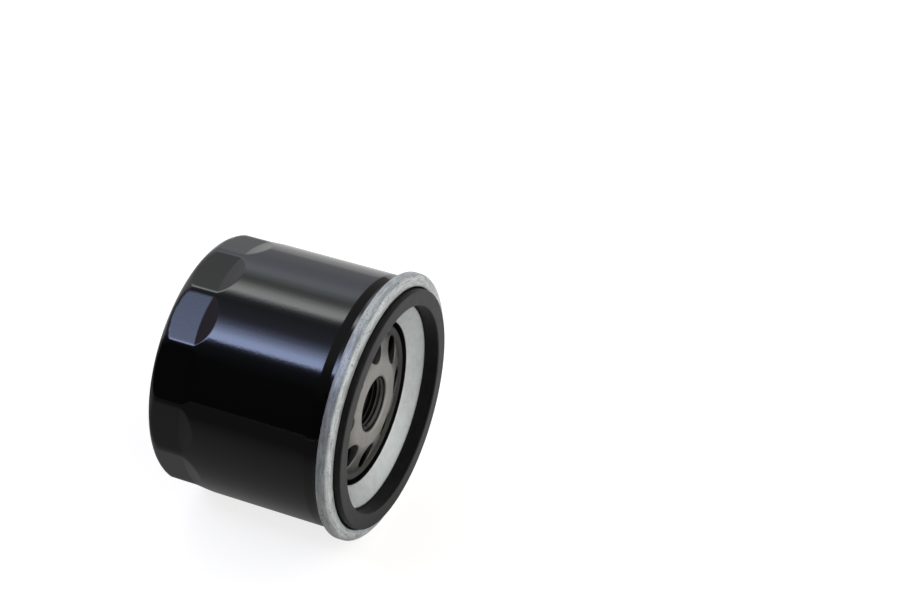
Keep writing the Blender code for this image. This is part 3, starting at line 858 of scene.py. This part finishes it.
def pleat_line(count):
    """Closed zigzag of the paper in its own plane, with a rounded fold at each tip and root."""
    tips = 2 * math.pi * np.arange(count) / count
    corners = []
    for radius, half, shift in ((PLEAT_TIP_R, 0.55, 0.0), (PLEAT_ROOT_R, 0.35, math.pi / count)):
        for side in (-1, 1):
            a = tips + shift + side * half / radius
            corners.append(np.stack([radius * np.cos(a), radius * np.sin(a)], axis=1))
    loop = np.stack(corners, axis=1).reshape(-1, 2)
    fillets = np.tile([0.45, 0.45, 0.32, 0.32], count)
    middle = (loop[-1] + loop[0]) / 2
    path = [(*middle, 0)] + [(*point, fillet) for point, fillet in zip(loop, fillets)] + [(*middle, 0)]
    return rounded(path, 2.2)[:-1]


def along_axis(flat, x):
    """Carry a flat line along the axis: its first coordinate becomes z and its second becomes -y."""
    return np.stack([x + 0 * flat[:, 0], -flat[:, 1] + 0 * x, flat[:, 0] + 0 * x], axis=-1)


class OIL_FILTER_OT_media(bpy.types.Operator):
    """Pleated paper: a zigzag sheet line with rounded folds carried along the element"""
    bl_idname = "oil_filter.media"
    bl_label = "Filter media"

    def execute(self, context):
        line = pleat_line(measured(context).pleat_count)
        step = np.roll(line, -1, axis=0) - np.roll(line, 1, axis=0)
        step /= np.linalg.norm(step, axis=1)[:, None]
        normal = np.stack([step[:, 1], -step[:, 0]], axis=1) * PAPER_THICKNESS / 2
        x = np.linspace(PAPER_X0, PAPER_X1, 13)[:, None]
        grid = np.concatenate([along_axis(line + normal, x), along_axis(line - normal, x[::-1])])
        media = solid("pleated_paper", [(grid, True, True)], 60.0)
        show(media, finish("filter_paper"), "element", "filter_paper", "filter_media")
        dress(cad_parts["media_seam_clip"], finish("tinplate"))
        return {"FINISHED"}


TUBE_R, TUBE_BORE_R = 11.5, 11.1
TUBE_X0, TUBE_X1 = -49.99, -17.9
HOLE_R, HOLE_ROWS, HOLES_ROUND = 1.6, 4, 8
HOLE_ROW_GAP, FIRST_ROW_X = 6.2, -24.5


def hole_cell(width, height, steps, side_steps):
    """A rectangle's boundary and the hole's circle inside it, point for point on the same rays."""
    arc = np.linspace(-width / 2, width / 2, steps + 1)[:-1]
    side = np.linspace(-height / 2, height / 2, side_steps + 1)[:-1]
    loop = np.concatenate([
        np.stack([arc, -height / 2 + 0 * arc], 1), np.stack([width / 2 + 0 * side, side], 1),
        np.stack([-arc, height / 2 + 0 * arc], 1), np.stack([-width / 2 + 0 * side, -side], 1)])
    return loop, loop / np.linalg.norm(loop, axis=1)[:, None] * HOLE_R


def rolled(flat, x, radius, turn):
    """Roll a flat pattern onto a cylinder: across becomes an angle of the tube's outside, along stays x."""
    a = flat[..., 0] / TUBE_R + turn
    return np.stack([x + flat[..., 1], radius * np.cos(a), radius * np.sin(a)], axis=-1)


class OIL_FILTER_OT_tube(bpy.types.Operator):
    """Centre tube: a rolled tube pierced by staggered rows of round holes"""
    bl_idname = "oil_filter.tube"
    bl_label = "Centre tube"

    def execute(self, context):
        steps = 16
        loop, hole = hole_cell(2 * math.pi * TUBE_R / HOLES_ROUND, HOLE_ROW_GAP, steps, 6)
        cell = between(hole, loop, 5)
        grids = []
        for row in range(HOLE_ROWS):
            x = FIRST_ROW_X - HOLE_ROW_GAP * row
            for turn in circle(HOLES_ROUND, math.pi / HOLES_ROUND * (row % 2)):
                grids += [(rolled(cell, x, radius, turn), False, True) for radius in (TUBE_R, TUBE_BORE_R)]
                wall = np.array([rolled(hole, x, radius, turn) for radius in (TUBE_R, TUBE_BORE_R)])
                grids.append((wall, False, True))
        high = FIRST_ROW_X + HOLE_ROW_GAP / 2
        low = high - HOLE_ROW_GAP * HOLE_ROWS
        for edge, tip in ((high, TUBE_X1), (low, TUBE_X0)):
            line = np.array([[edge, TUBE_R], [tip, TUBE_R], [tip, TUBE_BORE_R], [edge, TUBE_BORE_R]])
            grids.append((turned(line, circle(HOLES_ROUND * steps)), False, True))
        tube = solid("pierced_tube", grids, 30.0)
        show(tube, finish("tinplate"), "element", "tinplate", "center_tube")
        return {"FINISHED"}


COIL_R, COIL_WIRE_R, COIL_TURNS = 4.3, 0.4, 5
COIL_X0, COIL_X1 = -47.5, -39.2
SEAL_X0, SEAL_X1, SEAL_R0, SEAL_R1 = -50.0, -49.3, 1.95, 7.1


def coil_grid(radius, wire, x0, x1, turns):
    """A round wire carried along a helix whose last half turns lie flat, closed at both ends."""
    t = np.linspace(0, 1, 40 * turns + 1)
    rise = np.clip((t * turns - 0.6) / (turns - 1.2), 0, 1)
    a = 2 * math.pi * turns * t
    middle = np.stack([x0 + (x1 - x0) * rise, radius * np.cos(a), radius * np.sin(a)], axis=1)
    step = np.gradient(middle, axis=0)
    step /= np.linalg.norm(step, axis=1)[:, None]
    out = np.stack([0 * a, np.cos(a), np.sin(a)], axis=1)
    up = np.cross(step, out)
    b = circle(14)[None, :, None]
    tube = middle[:, None] + wire * (np.cos(b) * out[:, None] + np.sin(b) * up[:, None])
    ends = [np.repeat(middle[i][None, None], 14, axis=1) for i in (0, -1)]
    return np.concatenate([ends[0], tube, ends[1]])


class OIL_FILTER_OT_bypass(bpy.types.Operator):
    """Bypass valve: poppet, seal, spring and cage"""
    bl_idname = "oil_filter.bypass"
    bl_label = "Bypass valve"

    def execute(self, context):
        poppet = [(-45.6, 0, 0), (-45.6, 2.8, 0.5), (-48.2, 2.8, 0.3), (-48.2, 7.1, 0.35), (-49.0, 7.1, 0.15)]
        poppet += [(-49.0, 1.6, 0.1), (-51.4, 1.6, 0.3), (-51.4, 0, 0)]
        grid = turned(rounded(poppet, 0.8), circle(120))
        piece = solid("bypass_plunger", [(grid, False, True)])
        show(piece, finish("tinplate"), "bypass_valve", "tinplate", "bypass_poppet")
        seal = [(SEAL_X1, 4.0, 0), (SEAL_X1, SEAL_R1, 0.1), (SEAL_X0, SEAL_R1, 0.1), (SEAL_X0, SEAL_R0, 0.1)]
        seal += [(SEAL_X1, SEAL_R0, 0.1), (SEAL_X1, 3.99, 0)]
        ring = turned_piece("bypass_washer", rounded(seal, 0.8), 120)
        show(ring, finish("moulded_rubber"), "bypass_valve", "valve_rubber", "bypass_seal")
        grid = coil_grid(COIL_R, COIL_WIRE_R, COIL_X0, COIL_X1, COIL_TURNS)
        coil = solid("bypass_coil", [(grid, False, True)], 60.0)
        show(coil, finish("spring_steel"), "element", "spring_steel", "bypass_spring")
        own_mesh(coil)
        dress(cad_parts["bypass_cage"], finish("tinplate"))
        return {"FINISHED"}


LEAF_COUNT, LEAF_HALF_WIDTH, LEAF_THICKNESS = 4, 4.5, 0.6
LEAF_ROOT_R, LEAF_TIP_R, LEAF_BORE_R = 14.0, 31.2, 8.0


def leaf_star():
    """Closed outline of the load spring in its own plane: four arms with rounded roots and tips."""
    arm = [(LEAF_ROOT_R, -LEAF_HALF_WIDTH - 1.2, 2.0), (LEAF_TIP_R, -LEAF_HALF_WIDTH, 1.5),
           (LEAF_TIP_R, LEAF_HALF_WIDTH, 1.5), (LEAF_ROOT_R, LEAF_HALF_WIDTH + 1.2, 2.0)]
    corners = []
    for a in circle(LEAF_COUNT, math.radians(45.0)):
        for r, across, fillet in arm:
            y, z = r * math.cos(a) - across * math.sin(a), r * math.sin(a) + across * math.cos(a)
            corners.append((y, z, fillet))
    middle = ((corners[-1][0] + corners[0][0]) / 2, (corners[-1][1] + corners[0][1]) / 2)
    return rounded([(*middle, 0)] + corners + [(*middle, 0)], 0.8)[:-1]


class OIL_FILTER_OT_leaf(bpy.types.Operator):
    """Load spring: a star of bowed leaves between the element and the closed end"""
    bl_idname = "oil_filter.leaf"
    bl_label = "Load spring"

    def execute(self, context):
        profile = rounded([(-51.35, 8.0, 0), (-51.35, 15.0, 3.0), (-52.7, 19.5, 6.0), (-59.6, 27.2, 2.0),
                           (-60.1, 29.2, 1.0), (-59.4, LEAF_TIP_R, 0)], 0.8)
        star = leaf_star()
        bore = star / np.linalg.norm(star, axis=1)[:, None] * LEAF_BORE_R
        rows = between(bore, star, 24)
        x = np.interp(np.linalg.norm(rows, axis=-1), profile[:, 1], profile[:, 0])
        upper, lower = [np.stack([x + lift, rows[..., 0], rows[..., 1]], axis=-1)
                        for lift in (LEAF_THICKNESS / 2, -LEAF_THICKNESS / 2)]
        spring = solid("leaf_spring", [(np.concatenate([upper, lower[::-1]]), True, True)], 40.0)
        show(spring, finish("spring_steel"), "housing", "spring_steel", "load_spring")
        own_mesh(spring)
        return {"FINISHED"}


# ---------------------------------------------------------------- stage

STUDIO = (
    (-30, (0.46, 0.46, 0.45)), (-5, (0.58, 0.58, 0.60)), (5, (0.58, 0.59, 0.63)), (21, (0.75, 0.78, 0.88)),
    (30, (1.0, 1.03, 1.2)), (38, (1.40, 1.47, 1.68)), (42, (1.48, 1.56, 1.76)), (47, (1.15, 1.25, 1.30)),
    (53, (0.78, 0.80, 0.79)), (57, (1.0, 1.03, 1.0)), (61, (2.1, 2.2, 2.15)), (66, (3.8, 3.9, 3.85)),
    (70.5, (4.4, 4.45, 4.5)), (74, (1.6, 1.62, 1.7)), (77, (0.4, 0.42, 0.45)), (82, (0.24, 0.25, 0.29)),
    (95, (0.34, 0.37, 0.47)), (99, (0.5, 0.52, 0.74)), (104, (1.2, 1.4, 2.1)), (110, (3.1, 3.7, 5.8)),
    (115, (5.2, 6.3, 9.8)), (120, (5.6, 6.6, 10.4)), (122, (1.2, 1.4, 2.2)), (124, (0.2, 0.22, 0.35)),
    (128, (0.09, 0.10, 0.12)), (140, (0.04, 0.04, 0.04)), (175, (0.03, 0.03, 0.03)),
)
AHEAD = ((-30, (0.28,) * 3), (110, (0.25,) * 3), (124, (0.10,) * 3), (150, (0.03,) * 3))
BEHIND = (
    (-30, (0.42, 0.42, 0.43)), (0, (0.5, 0.5, 0.5)), (40, (1.0, 1.0, 1.05)), (65, (1.0, 1.0, 1.08)),
    (96, (0.46, 0.42, 0.50)), (110, (0.42, 0.37, 0.45)), (124, (0.10, 0.10, 0.11)), (150, (0.03,) * 3),
)
ENGINE_SIDE = (1.35, 1.36, 1.38)
BRIGHTEST = 12.0


def stops_of(table):
    """Stops of a colour ramp over a whole turn, from pairs of an angle in degrees and a colour."""
    return [(angle / 360 + 0.5, tuple(c / BRIGHTEST for c in colour)) for angle, colour in table]


def make_world():
    """Soft studio, as a function of the direction's angle round the filter's axis.

    Strip lights run along the filter, with dimmer walls ahead of the gasket and behind the closed
    end, and a broad soft light on the engine side.
    """
    world = bpy.data.worlds.new("soft_studio")
    bpy.context.scene.world = world
    p = Paint(world)
    way = p.node("ShaderNodeTexCoord", {}, {}, "Generated")
    x, y, z = [p.node("ShaderNodeSeparateXYZ", {}, {0: way}, i) for i in range(3)]
    turn = z.math("ARCTAN2", z, y) / (2 * math.pi) + 0.5
    strips, ahead, behind = [p.node("ShaderNodeValToRGB", {"stops": stops_of(table)}, {0: turn})
                             for table in (STUDIO, AHEAD, BEHIND)]
    lit = p.mix(x.ramp(-0.34, -0.21), strips, ahead)
    near = p.mix(x.ramp(-0.60, -0.45), behind, lit)
    ends = p.mix(x.ramp(0.42, 0.60), near, (*[c / BRIGHTEST for c in ENGINE_SIDE], 1.0))
    seen = p.node("ShaderNodeLightPath", {}, {}, "Is Camera Ray")
    glow = p.node("ShaderNodeBackground", {}, {"Color": ends, "Strength": BRIGHTEST})
    pale = p.node("ShaderNodeBackground", {}, {"Color": (1.0, 1.0, 1.0, 1.0), "Strength": 1.0})
    both = p.node("ShaderNodeMixShader", {}, {0: seen, 1: glow, 2: pale})
    p.node("ShaderNodeOutputWorld", {}, {"Surface": both})


def make_floor(low):
    """A pale table that the seam and the rim of the closed end both touch. Camera rays see it white; all
    other rays see it glow, with painted shade in front, a painted contact shadow under and just in front of
    the can, and painted light beyond the gasket end and behind the filter.
    """
    seam = np.array([(LID_X0 + 1.2) * MM, -(LID_R + 0.03) * MM])
    rim = np.array([(CAN_X0 + 2.6) * MM, low])
    slope = (seam[1] - rim[1]) / (seam[0] - rim[0])
    size = 2.5
    corners = [(x, y, seam[1] + (x - seam[0]) * slope) for x in (-size, size) for y in (-size, size)]
    mesh = bpy.data.meshes.new("table")
    mesh.from_pydata(corners, [], [(0, 2, 3, 1)])
    table = bpy.data.objects.new("table", mesh)
    bpy.context.scene.collection.objects.link(table)
    mat = bpy.data.materials.new("table_top")
    p = Paint(mat)
    _, (x, y, _) = p.place()
    # Glow seen only in reflections and bounced light: painted shade in front, darker still in a painted
    # contact shadow under and just in front of the can, and painted light beyond the gasket end and behind
    # the filter.
    front = 0.11 + y.ramp(-0.24, -0.05) * 0.18 - y.ramp(-0.035, -0.005) * 0.2
    painted_lit_side = 1 - (1 - (x + y * 0.35).ramp(-0.02, 0.03)) * (1 - y.ramp(0.01, 0.07))
    tone = front * (1 - painted_lit_side) + painted_lit_side * 0.85
    shade = p.node("ShaderNodeEmission", {}, {"Color": p.vector(tone, tone, tone), "Strength": 1.0})
    white = p.node("ShaderNodeBsdfDiffuse", {}, {"Color": (0.52, 0.50, 0.46, 1.0)})
    glow = p.node("ShaderNodeEmission", {}, {"Color": (1.0, 1.0, 1.0, 1.0), "Strength": 0.78})
    paper = p.node("ShaderNodeAddShader", {}, {0: white, 1: glow})
    seen = p.node("ShaderNodeLightPath", {}, {}, "Is Camera Ray")
    both = p.node("ShaderNodeMixShader", {}, {0: seen, 1: shade, 2: paper})
    p.node("ShaderNodeOutputMaterial", {}, {"Surface": both})
    mesh.materials.append(mat)


def make_camera():
    """A long lens that looks down on the filter's gasket end, with room on the right."""
    azimuth, elevation, distance = math.radians(23.79), math.radians(38.02), 0.600
    look = Vector((-math.sin(azimuth) * math.cos(elevation), math.cos(azimuth) * math.cos(elevation),
                   -math.sin(elevation)))
    aim = Vector((0.01242, 0.01144, 0.03616))
    data = bpy.data.cameras.new("camera")
    data.lens = 85.5
    data.sensor_width = 36.0
    data.clip_start = 0.01
    camera = bpy.data.objects.new("camera", data)
    camera.location = aim - look * distance
    camera.rotation_euler = look.to_track_quat("-Z", "Y").to_euler()
    bpy.context.scene.collection.objects.link(camera)
    bpy.context.scene.camera = camera


class OIL_FILTER_OT_stage(bpy.types.Operator):
    """Pale table, soft studio light and the camera"""
    bl_idname = "oil_filter.stage"
    bl_label = "Stage"

    def execute(self, context):
        make_world()
        make_floor(-(measured(context).can_radius + 0.03) * MM)
        make_camera()
        context.scene.view_settings.view_transform = "Standard"
        return {"FINISHED"}


PIECES = (
    OIL_FILTER_OT_can,
    OIL_FILTER_OT_lid,
    OIL_FILTER_OT_plate,
    OIL_FILTER_OT_gasket,
    OIL_FILTER_OT_valve,
    OIL_FILTER_OT_caps,
    OIL_FILTER_OT_adhesive,
    OIL_FILTER_OT_media,
    OIL_FILTER_OT_tube,
    OIL_FILTER_OT_bypass,
    OIL_FILTER_OT_leaf,
    OIL_FILTER_OT_stage,
)


class VIEW3D_PT_oil_filter(bpy.types.Panel):
    """Lists the filter's sizes, colours and pieces"""
    bl_label = "Oil Filter"
    bl_idname = "VIEW3D_PT_oil_filter"
    bl_space_type = "VIEW_3D"
    bl_region_type = "UI"
    bl_category = "Oil Filter"

    def draw(self, context):
        for group in (context.scene.filter_sizes, context.scene.filter_colours):
            box = self.layout.box()
            for name in group.__annotations__:
                box.prop(group, name)
        for piece in PIECES:
            self.layout.operator(piece.bl_idname)


CLASSES = (FilterSizes, FilterColours, *PIECES, VIEW3D_PT_oil_filter)


def register():
    """Add the classes and put both property groups on the scene."""
    for cls in CLASSES:
        bpy.utils.register_class(cls)
    bpy.types.Scene.filter_sizes = PointerProperty(type=FilterSizes)
    bpy.types.Scene.filter_colours = PointerProperty(type=FilterColours)


def unregister():
    """Take away what register added."""
    del bpy.types.Scene.filter_colours
    del bpy.types.Scene.filter_sizes
    for cls in reversed(CLASSES):
        bpy.utils.unregister_class(cls)


def main():
    """Build every piece in order."""
    register()
    for piece in PIECES:
        group, name = piece.bl_idname.split(".")
        getattr(getattr(bpy.ops, group), name)()


if __name__ == "__main__":
    main()
